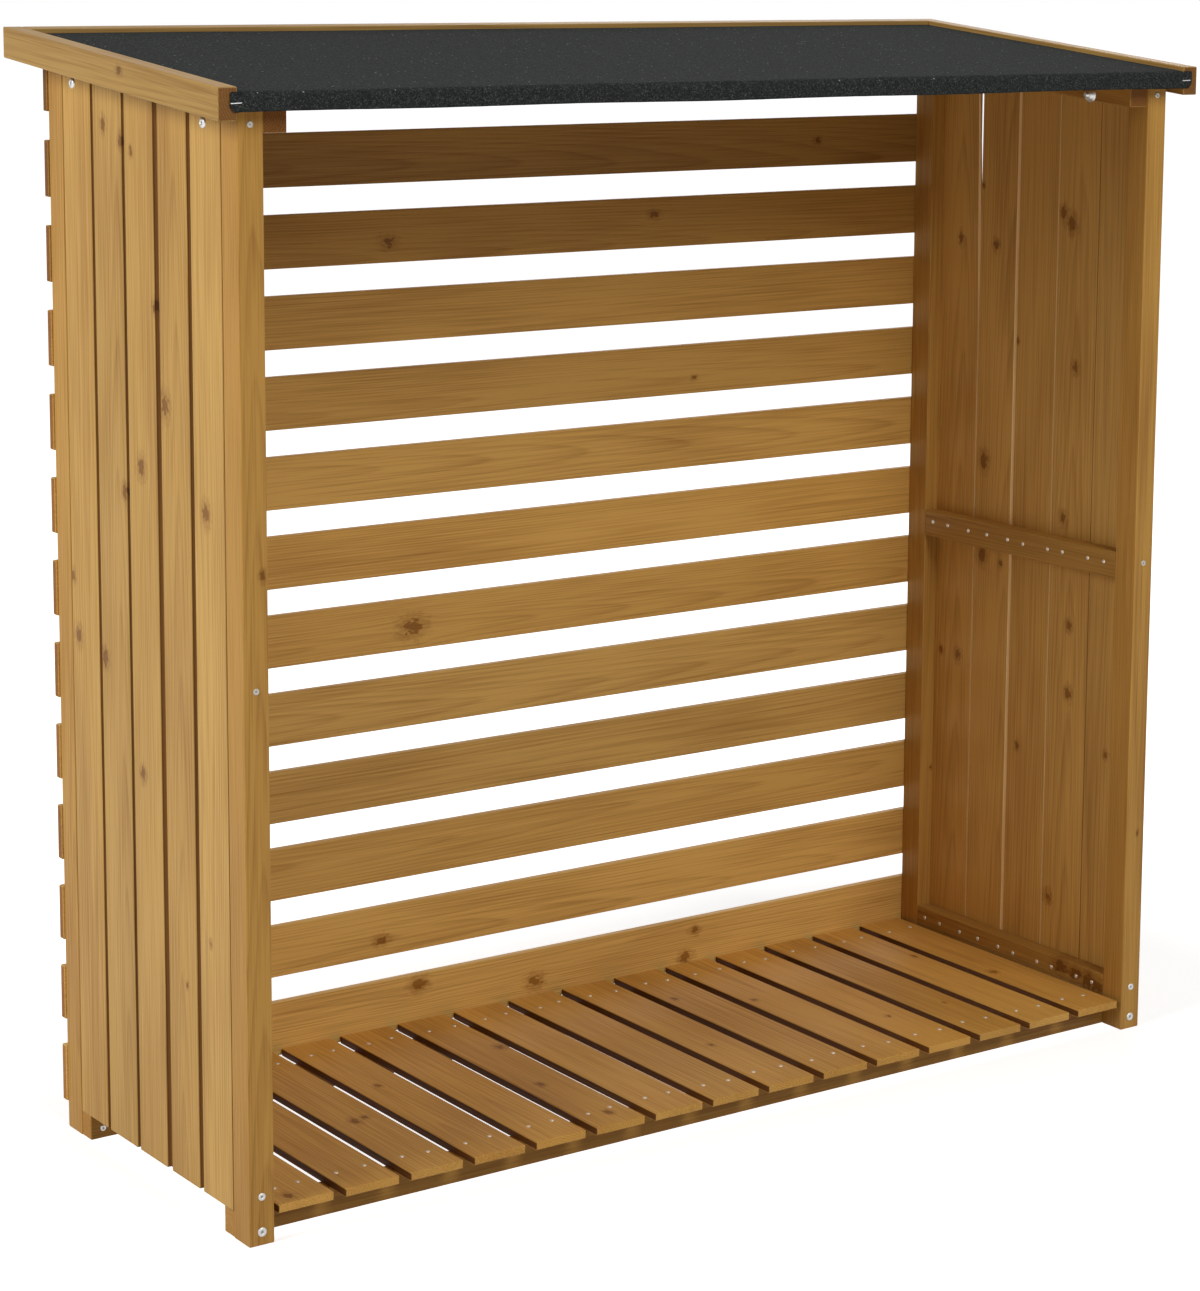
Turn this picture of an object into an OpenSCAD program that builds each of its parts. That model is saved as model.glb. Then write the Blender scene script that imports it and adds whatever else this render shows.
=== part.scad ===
// Log store: an open-fronted softwood frame for stacking firewood, under a felted pent roof.
// Millimetres, +Z up, the open front faces -Y. The origin is on the ground, in the middle of the plan.
// Depths called "y" are counted back from the front faces of the front posts.

/* [Store] */
// Width over the outer faces of the corner posts
store_width = 1500; // [1300:10:1700]
// Depth from the front faces of the front posts to the rear faces of the rear posts
store_depth = 513; // [440:1:620]
// Height of the roof deck's underside at the front faces of the front posts
front_height = 1403; // [1250:1:1550]
// Fall of the roof towards the front, in degrees
roof_fall = 5.4; // [3:0.1:9]

/* [Posts and battens] */
// Post size across the store
post_width = 35; // [32:1:45]
// Post size from front to back
post_depth = 41; // [36:1:50]
// Height of the side battens
batten_height = 40; // [32:1:48]
// Height of the middle battens' centre line
middle_batten_level = 698; // [560:1:820]
// Bevel along the edges of the planed timber
arris = 1.5; // [0.5:0.5:3]

/* [Side boards] */
// Thickness of the tongue-and-groove boards
board_thickness = 10; // [8:0.5:12]
// Shadow gap that shows outside between two boards
shadow_gap = 10; // [6:0.5:14]
// Gap between the outermost boards and the posts
board_end_gap = 2; // [1:0.5:4]
// Length of tongue that enters the next board's groove
tongue_grip = 4; // [2:0.5:6]
// Clearance around a tongue in its groove
tongue_clearance = 0.3; // [0.1:0.05:0.5]
// Open joint between two boards on the inside
inner_joint = 0.8; // [0.4:0.1:2]

/* [Floor] */
// Height of the floor rails, which also lifts the boards off the ground
rail_height = 35; // [28:1:45]
// Thickness of the floor rails
rail_thickness = 26; // [22:1:32]
// How far the rail ends stay inside the posts' outer faces
rail_setback = 1; // [0:0.5:4]
// Thickness of the floor slats
floor_slat_thickness = 11; // [9:1:16]
// Width of the floor slats
floor_slat_width = 79; // [60:1:86]
// Distance from a post's outer face to the first floor slat
floor_margin = 42; // [40:1:50]
// How far the floor slats stay behind the front posts' faces
floor_front_setback = 2; // [0:0.5:6]
// Clearance between the floor slats and the back slats
floor_rear_clearance = 1; // [0.5:0.5:4]

/* [Back] */
// Height of the back slats
back_slat_height = 74; // [60:1:84]
// Thickness of the back slats
back_slat_thickness = 12; // [9:1:16]
// Height of the lowest back slat above the ground
back_slat_start = 40; // [36:1:60]
// Clearance between the top back slat and the roof deck
back_slat_clearance = 3; // [2:0.5:8]
// How far the back slats pass the posts' outer faces
back_slat_overhang = 2; // [0:0.5:10]

/* [Roof] */
// Thickness of the roof deck
deck_thickness = 18; // [15:1:22]
// Rounding of the deck's front top edge, which the felt bends over
deck_nose = 4; // [3:0.5:6]
// Thickness of the roofing felt
felt_thickness = 2; // [1.5:0.5:3]
// How far the felt hangs below the deck's front edge
felt_drip = 4; // [2:0.5:8]
// How far the turned-down felt laps over a side fascia's front end
felt_lap = 12; // [8:1:16]
// How far the lapped ears of felt stay below the fascia's top
felt_ear_drop = 6; // [4:0.5:12]
// Corner cut off the bottom of each ear
felt_corner = 6; // [3:0.5:8]
// Clearance between the felt and the fascias
felt_trim = 1; // [0.5:0.5:3]
// Thickness of the fascias
fascia_thickness = 26; // [22:1:32]
// How far the fascias stand above the felt
fascia_lip = 6; // [3:0.5:9]
// How far the fascias hang below the deck
fascia_drop = 14; // [8:1:18]
// Distance from a post's outer face to a side fascia's inner face
fascia_gap = 11; // [6:1:16]
// Overhang of the roof in front of the posts
front_overhang = 23; // [16:1:60]
// Overhang of the roof behind the back slats
rear_overhang = 42; // [32:1:80]
// Width of the roof bearers
bearer_width = 33; // [26:1:40]
// Height of the roof bearers
bearer_height = 33; // [28:1:40]
// How far the bearer ends stay inside the posts' faces
bearer_setback = 2; // [1:0.5:6]

/* [Hidden] */
$fn = 48;
board_count = 5;
floor_slat_count = 15;
back_slat_count = 13;
half_width = store_width / 2;
rise = tan(roof_fall);
secant = 1 / cos(roof_fall);
// plan positions, counted back from the front faces of the front posts
front_post_back = post_depth;
rear_post_front = store_depth - post_depth;
back_slat_back = store_depth + back_slat_thickness;
roof_front = -front_overhang;
roof_back = back_slat_back + rear_overhang;
deck_back = roof_back - fascia_thickness;
plan_middle = (roof_front - felt_thickness + roof_back) / 2;
// side boards
board_run = rear_post_front - front_post_back - 2 * board_end_gap;
board_face = (board_run - (board_count - 1) * shadow_gap) / board_count;
board_pitch = board_face + shadow_gap;
face_depth = 0.55 * board_thickness;
tongue_depth = 0.25 * board_thickness;
groove_depth = tongue_grip + 2 * tongue_clearance;
// floor and back
floor_pitch = (store_width - 2 * floor_margin - floor_slat_width) / (floor_slat_count - 1);
back_slat_room = deck_z(store_depth) - back_slat_clearance - back_slat_start - back_slat_height;
back_slat_pitch = back_slat_room / (back_slat_count - 1);
// roof
deck_half = half_width + fascia_gap;
nose_y = roof_front + deck_nose;
nose_z = deck_top(nose_y) - deck_nose * secant;
fascia_rise = deck_thickness + felt_thickness + fascia_lip;
felt_edge = deck_half - felt_trim;
felt_low = deck_z(roof_front) - felt_drip;
felt_ear_top = deck_z(roof_front) + fascia_rise * secant - felt_ear_drop;
// sizes that only have to reach past the store
reach = 3000;

// height of the deck's underside, and of its top, at a depth y
function deck_z(y) = front_height + y * rise;
function deck_top(y) = deck_z(y) + deck_thickness * secant;

// a sloping slab in side view with upright ends, from "low" to "high" square to the deck's underside
function slab(y0, y1, low, high) = [
    [y0, deck_z(y0) + low * secant], [y1, deck_z(y1) + low * secant],
    [y1, deck_z(y1) + high * secant], [y0, deck_z(y0) + high * secant]
];

// an outline with each corner bevelled
function eased(outline) = [
    for (i = [0 : len(outline) - 1], side = [-1, 1])
        let (corner = outline[i], next = outline[(i + side + len(outline)) % len(outline)])
            corner + (next - corner) * arris / norm(next - corner)
];

// direction in side view, in degrees from straight back
function aim(angle, length) = [length * cos(angle), length * sin(angle)];

// draws a side view (depth, height) from x0 to x1 across the store
module across(x0, x1) {
    translate([x0, -plan_middle, 0])
        rotate([90, 0, 90])
            linear_extrude(height = x1 - x0)
                children();
}

// cross-section of a planed length
module planed(width, height) {
    polygon(eased([[0, 0], [width, 0], [width, height], [0, height]]));
}

// planed bar along the store's width
module cross_bar(x0, x1, y0, y1, z0, z1) {
    translate([x0, y0 - plan_middle, z0])
        rotate([90, 0, 90])
            linear_extrude(height = x1 - x0)
                planed(y1 - y0, z1 - z0);
}

// planed bar from front to back
module long_bar(x0, x1, y0, y1, z0, z1) {
    translate([x0, y1 - plan_middle, z0])
        rotate([90, 0, 0])
            linear_extrude(height = y1 - y0)
                planed(x1 - x0, z1 - z0);
}

// planed bar along the roof's slope with upright ends, from "low" to "high" square to the deck's underside
module roof_bar(x0, x1, y0, y1, low, high) {
    intersection() {
        translate([x0, -plan_middle, front_height])
            rotate([roof_fall, 0, 0])
                translate([0, reach, low])
                    rotate([90, 0, 0])
                        linear_extrude(height = 2 * reach)
                            planed(x1 - x0, high - low);
        across(-reach, reach)
            translate([y0, 0])
                square([y1 - y0, reach]);
    }
}

// everything above the deck's underside
module above_deck() {
    across(-reach, reach)
        polygon([[-reach, deck_z(-reach)], [reach, deck_z(reach)], [reach, reach], [-reach, reach]]);
}

// the right-hand side's pieces, mirrored for the left
module left_hand() {
    mirror([1, 0, 0])
        children();
}

// corner post, cut under the deck's slope
module post(y0) {
    difference() {
        translate([half_width - post_width, y0 - plan_middle, 0])
            linear_extrude(height = deck_z(y0 + post_depth))
                planed(post_width, post_depth);
        above_deck();
    }
}

// side board, counted from the rear post: outer face, tongue on its front edge, groove in its rear edge
module board(number) {
    back = rear_post_front - board_end_gap - (number - 1) * board_pitch;
    front = back - board_face;
    first = number == 1;
    last = number == board_count;
    tongue_in = board_thickness - face_depth - tongue_depth;
    tongue_tip = front - shadow_gap - tongue_grip;
    difference() {
        translate([half_width - board_thickness, -plan_middle, rail_height])
            linear_extrude(height = deck_z(store_depth) - rail_height)
                difference() {
                    union() {
                        polygon([
                            [0, front], [board_thickness - arris, front], [board_thickness, front + arris],
                            [board_thickness, back - arris], [board_thickness - arris, back], [0, back]
                        ]);
                        if (!last) {
                            translate([0, front - shadow_gap + inner_joint])
                                square([tongue_in, shadow_gap]);
                            translate([0, tongue_tip])
                                square([tongue_in + tongue_depth, front - tongue_tip + tongue_clearance]);
                        }
                    }
                    if (!first)
                        translate([tongue_in - tongue_clearance, back - groove_depth])
                            square([tongue_depth + 2 * tongue_clearance, groove_depth + tongue_clearance]);
                    if (!last)
                        translate([-tongue_clearance, tongue_tip - tongue_grip])
                            square([tongue_in + tongue_clearance, 2 * tongue_grip + inner_joint]);
                }
        above_deck();
    }
}

// side battens lie between the posts, against the boards
module batten(z0) {
    long_bar(half_width - post_width, half_width - board_thickness, front_post_back, rear_post_front,
        z0, z0 + batten_height);
}

// the top batten follows the deck
module top_batten() {
    roof_bar(half_width - post_width, half_width - board_thickness, front_post_back, rear_post_front,
        -batten_height, 0);
}

// floor rail, resting on the ground
module rail(y0) {
    rail_end = half_width - rail_setback;
    cross_bar(-rail_end, rail_end, y0, y0 + rail_thickness, 0, rail_height);
}

// back slat, counted from the top
module back_slat(number) {
    z0 = back_slat_start + (back_slat_count - number) * back_slat_pitch;
    cross_bar(-half_width - back_slat_overhang, half_width + back_slat_overhang,
        store_depth, back_slat_back, z0, z0 + back_slat_height);
}

// side fascia, with upright ends
module side_fascia() {
    roof_bar(deck_half, deck_half + fascia_thickness, roof_front, roof_back, -fascia_drop, fascia_rise);
}

// roof bearer, under the deck and beside the posts
module bearer() {
    inner = half_width - post_width - bearer_width;
    roof_bar(inner, inner + bearer_width, bearer_setback, store_depth - bearer_setback, -bearer_height, 0);
}

module left_front_post() { color("Peru") left_hand() post(0); }
module right_front_post() { color("Peru") post(0); }
module left_rear_post() { color("Peru") left_hand() post(rear_post_front); }
module right_rear_post() { color("Peru") post(rear_post_front); }

module left_board_1() { color("BurlyWood") left_hand() board(1); }
module left_board_2() { color("BurlyWood") left_hand() board(2); }
module left_board_3() { color("BurlyWood") left_hand() board(3); }
module left_board_4() { color("BurlyWood") left_hand() board(4); }
module left_board_5() { color("BurlyWood") left_hand() board(5); }
module right_board_1() { color("BurlyWood") board(1); }
module right_board_2() { color("BurlyWood") board(2); }
module right_board_3() { color("BurlyWood") board(3); }
module right_board_4() { color("BurlyWood") board(4); }
module right_board_5() { color("BurlyWood") board(5); }

module left_bottom_batten() { color("Peru") left_hand() batten(rail_height); }
module left_middle_batten() { color("Peru") left_hand() batten(middle_batten_level - batten_height / 2); }
module left_top_batten() { color("Peru") left_hand() top_batten(); }
module right_bottom_batten() { color("Peru") batten(rail_height); }
module right_middle_batten() { color("Peru") batten(middle_batten_level - batten_height / 2); }
module right_top_batten() { color("Peru") top_batten(); }

module floor_front_rail() { color("Sienna") rail(front_post_back); }
module floor_rear_rail() { color("Sienna") rail(rear_post_front - rail_thickness); }

// floor slats, front to back across the rails
module floor_slats() {
    color("Tan")
        for (i = [0 : floor_slat_count - 1]) {
            x0 = -half_width + floor_margin + i * floor_pitch;
            long_bar(x0, x0 + floor_slat_width, floor_front_setback, store_depth - floor_rear_clearance,
                rail_height, rail_height + floor_slat_thickness);
        }
}

module back_slat_01() { color("Chocolate") back_slat(1); }
module back_slat_02() { color("Chocolate") back_slat(2); }
module back_slat_03() { color("Chocolate") back_slat(3); }
module back_slat_04() { color("Chocolate") back_slat(4); }
module back_slat_05() { color("Chocolate") back_slat(5); }
module back_slat_06() { color("Chocolate") back_slat(6); }
module back_slat_07() { color("Chocolate") back_slat(7); }
module back_slat_08() { color("Chocolate") back_slat(8); }
module back_slat_09() { color("Chocolate") back_slat(9); }
module back_slat_10() { color("Chocolate") back_slat(10); }
module back_slat_11() { color("Chocolate") back_slat(11); }
module back_slat_12() { color("Chocolate") back_slat(12); }
module back_slat_13() { color("Chocolate") back_slat(13); }

// roof deck between the fascias, its front top edge rounded over
module roof_deck() {
    color("Tan")
        across(-deck_half, deck_half)
            union() {
                difference() {
                    polygon(slab(roof_front, deck_back, 0, deck_thickness));
                    polygon([
                        [nose_y, nose_z], [nose_y, nose_z] + aim(90 + roof_fall, 2 * deck_nose),
                        [nose_y, nose_z] + aim(135, 4 * deck_nose), [nose_y - 2 * deck_nose, nose_z]
                    ]);
                }
                translate([nose_y, nose_z])
                    circle(r = deck_nose);
            }
}

// ear of felt over a side fascia's front end, joined to the turned-down part beside it
module felt_ear() {
    outer = deck_half + felt_lap;
    root = felt_edge - felt_lap;
    translate([0, roof_front - plan_middle, 0])
        rotate([90, 0, 0])
            linear_extrude(height = felt_thickness)
                polygon([
                    [root, felt_low], [outer - felt_corner, felt_low], [outer, felt_low + felt_corner],
                    [outer, felt_ear_top], [felt_edge, felt_ear_top], [felt_edge, nose_z], [root, nose_z]
                ]);
}

// roofing felt: one sheet laid on the deck, bent over its front edge and turned down
module roof_felt() {
    bend = [nose_y, nose_z];
    outside = deck_nose + felt_thickness;
    color("DimGray")
        union() {
            across(-felt_edge, felt_edge)
                union() {
                    polygon([
                        bend + aim(90 + roof_fall, deck_nose), bend + aim(90 + roof_fall, outside),
                        [deck_back, deck_top(deck_back) + felt_thickness * secant],
                        [deck_back, deck_top(deck_back)]
                    ]);
                    intersection() {
                        translate(bend)
                            difference() {
                                circle(r = outside);
                                circle(r = deck_nose);
                            }
                        polygon([
                            bend, bend + aim(90 + roof_fall, 3 * outside),
                            bend + aim(135, 4 * outside), bend + aim(180, 3 * outside)
                        ]);
                    }
                    translate([roof_front - felt_thickness, felt_low])
                        square([felt_thickness, nose_z - felt_low]);
                }
            felt_ear();
            left_hand()
                felt_ear();
        }
}

module roof_left_fascia() { color("Peru") left_hand() side_fascia(); }
module roof_right_fascia() { color("Peru") side_fascia(); }

// rear fascia, between the side ones
module roof_rear_fascia() {
    color("Peru")
        across(-deck_half, deck_half)
            polygon(eased(slab(deck_back, roof_back, -fascia_drop, fascia_rise)));
}

module roof_left_bearer() { color("Sienna") left_hand() bearer(); }
module roof_right_bearer() { color("Sienna") bearer(); }

left_front_post();
right_front_post();
left_rear_post();
right_rear_post();
left_board_1();
left_board_2();
left_board_3();
left_board_4();
left_board_5();
right_board_1();
right_board_2();
right_board_3();
right_board_4();
right_board_5();
left_bottom_batten();
left_middle_batten();
left_top_batten();
right_bottom_batten();
right_middle_batten();
right_top_batten();
floor_front_rail();
floor_rear_rail();
floor_slats();
back_slat_01();
back_slat_02();
back_slat_03();
back_slat_04();
back_slat_05();
back_slat_06();
back_slat_07();
back_slat_08();
back_slat_09();
back_slat_10();
back_slat_11();
back_slat_12();
back_slat_13();
roof_deck();
roof_felt();
roof_left_fascia();
roof_right_fascia();
roof_rear_fascia();
roof_left_bearer();
roof_right_bearer();
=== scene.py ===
import math
import random

import bpy
import bmesh
from mathutils import Matrix, Vector


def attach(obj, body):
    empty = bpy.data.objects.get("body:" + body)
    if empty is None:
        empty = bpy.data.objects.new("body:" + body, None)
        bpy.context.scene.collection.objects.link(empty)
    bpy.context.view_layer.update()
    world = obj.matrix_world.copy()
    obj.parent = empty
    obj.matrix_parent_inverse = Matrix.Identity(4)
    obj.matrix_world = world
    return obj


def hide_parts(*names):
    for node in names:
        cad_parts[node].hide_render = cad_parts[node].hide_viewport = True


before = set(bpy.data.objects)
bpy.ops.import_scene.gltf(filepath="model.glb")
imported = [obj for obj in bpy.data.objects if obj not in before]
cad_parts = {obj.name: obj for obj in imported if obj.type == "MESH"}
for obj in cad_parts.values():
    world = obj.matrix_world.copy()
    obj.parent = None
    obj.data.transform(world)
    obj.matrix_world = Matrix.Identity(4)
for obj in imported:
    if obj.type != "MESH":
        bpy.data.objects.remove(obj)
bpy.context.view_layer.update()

# The place where the store stands: a white studio floor that keeps a soft shadow, a broad lamp
# from the left, one high in front and a weak one behind, and a camera at standing height, pitched
# down a little and shifted a little so that the posts stay nearly upright.
stage_scene = bpy.context.scene
stage_scene.view_settings.view_transform = "Standard"

PICTURE_TALL, FOCAL_PIXELS, SENSOR = 1291, 3262.0, 36.0
EYE = (-2.572, -3.673, 1.588)
lens = bpy.data.cameras.new("camera")
lens.sensor_width = SENSOR
lens.lens = FOCAL_PIXELS / PICTURE_TALL * SENSOR
lens.shift_x = -0.0352
lens.shift_y = -0.160
lens.clip_end = 60.0
viewpoint = bpy.data.objects.new("camera", lens)
stage_scene.collection.objects.link(viewpoint)
turn, dip, roll = (math.radians(angle) for angle in (-35.33, 8.54, 0.40))
ahead = Vector((-math.sin(turn) * math.cos(dip), math.cos(turn) * math.cos(dip), -math.sin(dip)))
level = Vector((math.cos(turn), math.sin(turn), 0.0))
upright = level.cross(ahead)
right_hand = level * math.cos(roll) + upright * math.sin(roll)
upward = upright * math.cos(roll) - level * math.sin(roll)
looking = Matrix((right_hand, upward, -ahead)).transposed()
viewpoint.matrix_world = Matrix.Translation(EYE) @ looking.to_4x4()
stage_scene.camera = viewpoint


def add_node(tree, kind, inputs=None, **settings):
    """A node with its settings, each input given a value or joined to another node's output."""
    made = tree.nodes.new(kind)
    for key, value in settings.items():
        setattr(made, key, value)
    for key, value in (inputs or {}).items():
        if isinstance(value, bpy.types.NodeSocket):
            tree.links.new(value, made.inputs[key])
        else:
            made.inputs[key].default_value = value
    return made


def sums(tree, how, a, b=None, c=None):
    """One step of arithmetic on numbers."""
    values = {k: value for k, value in enumerate((a, b, c)) if value is not None}
    return add_node(tree, "ShaderNodeMath", values, operation=how).outputs[0]


def vectors(tree, how, a, b=None):
    """One step of arithmetic on points or colours."""
    values = {0: a} if b is None else {0: a, 1: b}
    made = add_node(tree, "ShaderNodeVectorMath", values, operation=how)
    return made.outputs["Value" if how == "LENGTH" else "Vector"]


def set_ramp(ramp, stops):
    """Gives a ramp its grey stops, from pairs of position and tone in rising order."""
    ramp.elements[0].position, ramp.elements[1].position = stops[0][0], stops[-1][0]
    for position, tone in stops[1:-1]:
        ramp.elements.new(position)
    for element, (position, tone) in zip(ramp.elements, stops):
        element.color = (tone, tone, tone, 1)


def seen_as_background(tree):
    """1 for the camera's rays and for those in a gloss or through something clear, else 0."""
    path = add_node(tree, "ShaderNodeLightPath").outputs
    mirrored = sums(tree, "MAXIMUM", path["Is Camera Ray"], path["Is Glossy Ray"])
    return sums(tree, "MAXIMUM", mirrored, path["Is Transmission Ray"])


# The floor's glow for the camera goes by the distance from the store's footprint: high under the
# store, painted light over the store's own shadow there so that the gaps show white; low in a ring
# round the feet, so that the soft shadow shows; full white far off.
GROUND_HALF = 40.0
UNDER_STORE = (0.715, 0.225, 0.0)
PAPER_GREY = (0.8, 0.8, 0.8, 1)
PAPER_LIFT = ((0.0, 0.96), (0.015, 0.96), (0.045, 0.61), (0.3, 0.63), (0.75, 1.02))
ground_mesh = bpy.data.meshes.new("studio_floor")
ground_corners = ((-1, -1), (1, -1), (1, 1), (-1, 1))
ground_mesh.from_pydata(
    [(x * GROUND_HALF, y * GROUND_HALF, 0.0) for x, y in ground_corners], [], [(0, 1, 2, 3)])
ground = bpy.data.objects.new("studio_floor", ground_mesh)
stage_scene.collection.objects.link(ground)
paper = bpy.data.materials.new("white_paper")
paper.use_nodes = True
tree = paper.node_tree
tree.nodes.clear()
where = add_node(tree, "ShaderNodeTexCoord").outputs["Object"]
beyond = vectors(tree, "SUBTRACT", vectors(tree, "ABSOLUTE", where), UNDER_STORE)
far = vectors(tree, "LENGTH", vectors(tree, "MAXIMUM", beyond))
lift = add_node(tree, "ShaderNodeValToRGB", {0: far})
lift.color_ramp.interpolation = "EASE"
set_ramp(lift.color_ramp, PAPER_LIFT)
gain = sums(tree, "MULTIPLY", seen_as_background(tree), lift.outputs[0])
paper_face = add_node(tree, "ShaderNodeBsdfDiffuse", {"Color": PAPER_GREY}).outputs[0]
paper_glow = add_node(tree, "ShaderNodeEmission", {"Strength": gain}).outputs[0]
paper_both = add_node(tree, "ShaderNodeAddShader", {0: paper_face, 1: paper_glow}).outputs[0]
add_node(tree, "ShaderNodeOutputMaterial", {"Surface": paper_both})
ground_mesh.materials.append(paper)

SKY_TINT, SKY_STRENGTH = (0.97, 0.985, 1, 1), 0.07
sky = bpy.data.worlds.new("studio")
stage_scene.world = sky
sky.use_nodes = True
tree = sky.node_tree
tree.nodes.clear()
sky_light = add_node(tree, "ShaderNodeBackground", {"Color": SKY_TINT, "Strength": SKY_STRENGTH})
sky_white = add_node(tree, "ShaderNodeBackground", {"Color": (1, 1, 1, 1), "Strength": 1.0})
sky_mix = add_node(tree, "ShaderNodeMixShader", {
    "Fac": seen_as_background(tree), 1: sky_light.outputs[0], 2: sky_white.outputs[0]})
add_node(tree, "ShaderNodeOutputWorld", {"Surface": sky_mix.outputs[0]})

for lamp_name, spot, aim_at, width, power in (
    ("left_softbox", (-5.5, -0.2, 3.6), (0.0, 0.0, 0.7), 3.0, 212.0),
    ("front_softbox", (0.3, -5.2, 4.8), (0.0, 0.0, 0.4), 3.4, 210.0),
    ("rear_softbox", (4.2, 4.2, 3.6), (0.0, 0.0, 0.7), 3.0, 60.0),
):
    lamp = bpy.data.lights.new(lamp_name, "AREA")
    lamp.size = width
    lamp.energy = power
    lamp_object = bpy.data.objects.new(lamp_name, lamp)
    lamp_object.location = spot
    towards = Vector(aim_at) - Vector(spot)
    lamp_object.rotation_euler = towards.to_track_quat("-Z", "Y").to_euler()
    stage_scene.collection.objects.link(lamp_object)

# Corner posts: planed softwood of 35 by 41 mm, stained honey brown, standing on the ground at the
# four corners. Their tops are cut to the fall of the roof, and the edges are eased all round.
WIDTH, DEPTH, MIDDLE = 1.500, 0.513, 0.271
FRONT_HEIGHT, FALL = 1.403, math.radians(5.4)
POST_WIDE, POST_DEEP = 0.035, 0.041
POST_SHADE, POST_WARMTH = 0.9, 0.8
POST_KNOTS = {("left", "front"): [(0.842, -0.011, 0.004)]}
PLAIN_POST_KNOTS = [(0.3, 0.004, 0.0025)]
SIDES = (("left", -1), ("right", 1))
STAINED, END_GRAIN, BARE, PAINTED_SHADE_SIDE = range(4)
EDGE_STEPS, STRETCHES = 3, 10
PITH_DEEP, PITH_LEAN = (0.012, 0.05), (-0.012, 0.02)
SHADE_STRAY, WARMTH_STRAY = (0.93, 1.07), (-0.15, 0.15)
KNOT_CHANCE, CHANCE_KNOT = 0.5, (0.002, 0.0045)
NO_KNOT = (-1.0, 0.0, 0.0)


def deck_under(y):
    """Height of the deck's underside, y behind the front of the posts."""
    return FRONT_HEIGHT + y * math.tan(FALL)


def planed_outline(wide, thick, ease, inset):
    """Cross-section of a planed length, its four edges eased, drawn in by inset near the ends."""
    points = []
    for corner, (sb, sc) in enumerate(((1, 1), (-1, 1), (-1, -1), (1, -1))):
        for step in range(EDGE_STEPS + 1):
            angle = math.radians(90 * corner + 90 * step / EDGE_STEPS)
            points.append((
                sb * (wide / 2 - ease) + (ease - inset) * math.cos(angle),
                sc * (thick / 2 - ease) + (ease - inset) * math.sin(angle),
            ))
    return points


def saw_length(length, wide, thick, place, seed, ease=0.0016, knots=(), outline=None, bare=None,
               shade=1.0, warmth=0.45):
    """One length of timber: grain along it, its pith off to one side, and its knots.

    place(along, across, through) gives the point in the store. outline is the cross-section of a
    length that isn't planed square, and bare gives the finish of the outline's sides that differ.
    A knot is its place along and across, and its radius. shade and warmth are how light and how
    warm
    its colour is: the wood's own tone and stain, and on some pieces painted light and shade as
    well.
    """
    chance = random.Random(seed)
    end = [(0.0, ease * 0.85), (ease * 0.3, ease * 0.3), (ease, 0.0)]
    stops = end + [(length * k / STRETCHES, 0.0) for k in range(1, STRETCHES)]
    stops += [(length - along, inset) for along, inset in reversed(end)]
    points, faces, slots, middles = [], [], [], []
    for along, inset in stops:
        ring = outline or planed_outline(wide, thick, ease, inset)
        points += [(along, across, through) for across, through in ring]
    sides = len(ring)
    for k in range(len(stops) - 1):
        near, far = k * sides, (k + 1) * sides
        for s in range(sides):
            t = (s + 1) % sides
            faces.append((near + s, near + t, far + t, far + s))
            slots.append((bare or {}).get(s, STAINED))
            middles.append((stops[k][0] + stops[k + 1][0]) / 2)
    faces.append(tuple(range(sides)))
    faces.append(tuple(len(points) - sides + s for s in range(sides)))
    slots += [END_GRAIN, END_GRAIN]
    middles += [0.0, length]
    heart_side = chance.choice((-1, 1))
    pith = (chance.uniform(-0.5, 0.5) * wide, heart_side * chance.uniform(*PITH_DEEP),
            heart_side * chance.uniform(*PITH_LEAN))
    tone = (shade * chance.uniform(*SHADE_STRAY), warmth + chance.uniform(*WARMTH_STRAY),
            seed * 0.737 % 50)
    marks = list(knots)
    if not marks and outline is None and chance.random() < KNOT_CHANCE:
        marks = [(chance.uniform(0.05, 0.95) * length, chance.uniform(-0.4, 0.4) * wide,
                  chance.uniform(*CHANCE_KNOT))]
    marks += [NO_KNOT, NO_KNOT]
    nearest = [sorted(marks, key=lambda mark: abs(mark[0] - middle))[:2] for middle in middles]
    return {"points": [place(*point) for point in points], "grain": points, "faces": faces,
            "slots": slots, "pith": pith, "tone": tone, "knots": nearest}


def from_srgb(r, g, b):
    """A colour as a screen shows it, turned into light."""
    return tuple((v / 255 / 12.92 if v <= 10 else ((v / 255 + 0.055) / 1.055) ** 2.4)
                 for v in (r, g, b)) + (1.0,)


def new_finish(name):
    finish = bpy.data.materials.new(name)
    finish.use_nodes = True
    return finish, finish.node_tree, finish.node_tree.nodes["Principled BSDF"]


def blend(tree, share, first, second):
    """Two colours, with share of the second."""
    return add_node(tree, "ShaderNodeMix", {0: share, 6: first, 7: second},
                    data_type="RGBA", clamp_factor=True).outputs[2]


def stretch_range(tree, value, low, high, start, stop, **settings):
    """start where value is low, stop where it is high."""
    return add_node(tree, "ShaderNodeMapRange", {0: value, 1: low, 2: high, 3: start, 4: stop},
                    **settings).outputs[0]


def add_bump(tree, skin, height, strength, distance):
    bump = add_node(tree, "ShaderNodeBump", {
        "Strength": strength, "Distance": distance, "Height": height})
    tree.links.new(bump.outputs[0], skin.inputs["Normal"])


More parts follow.
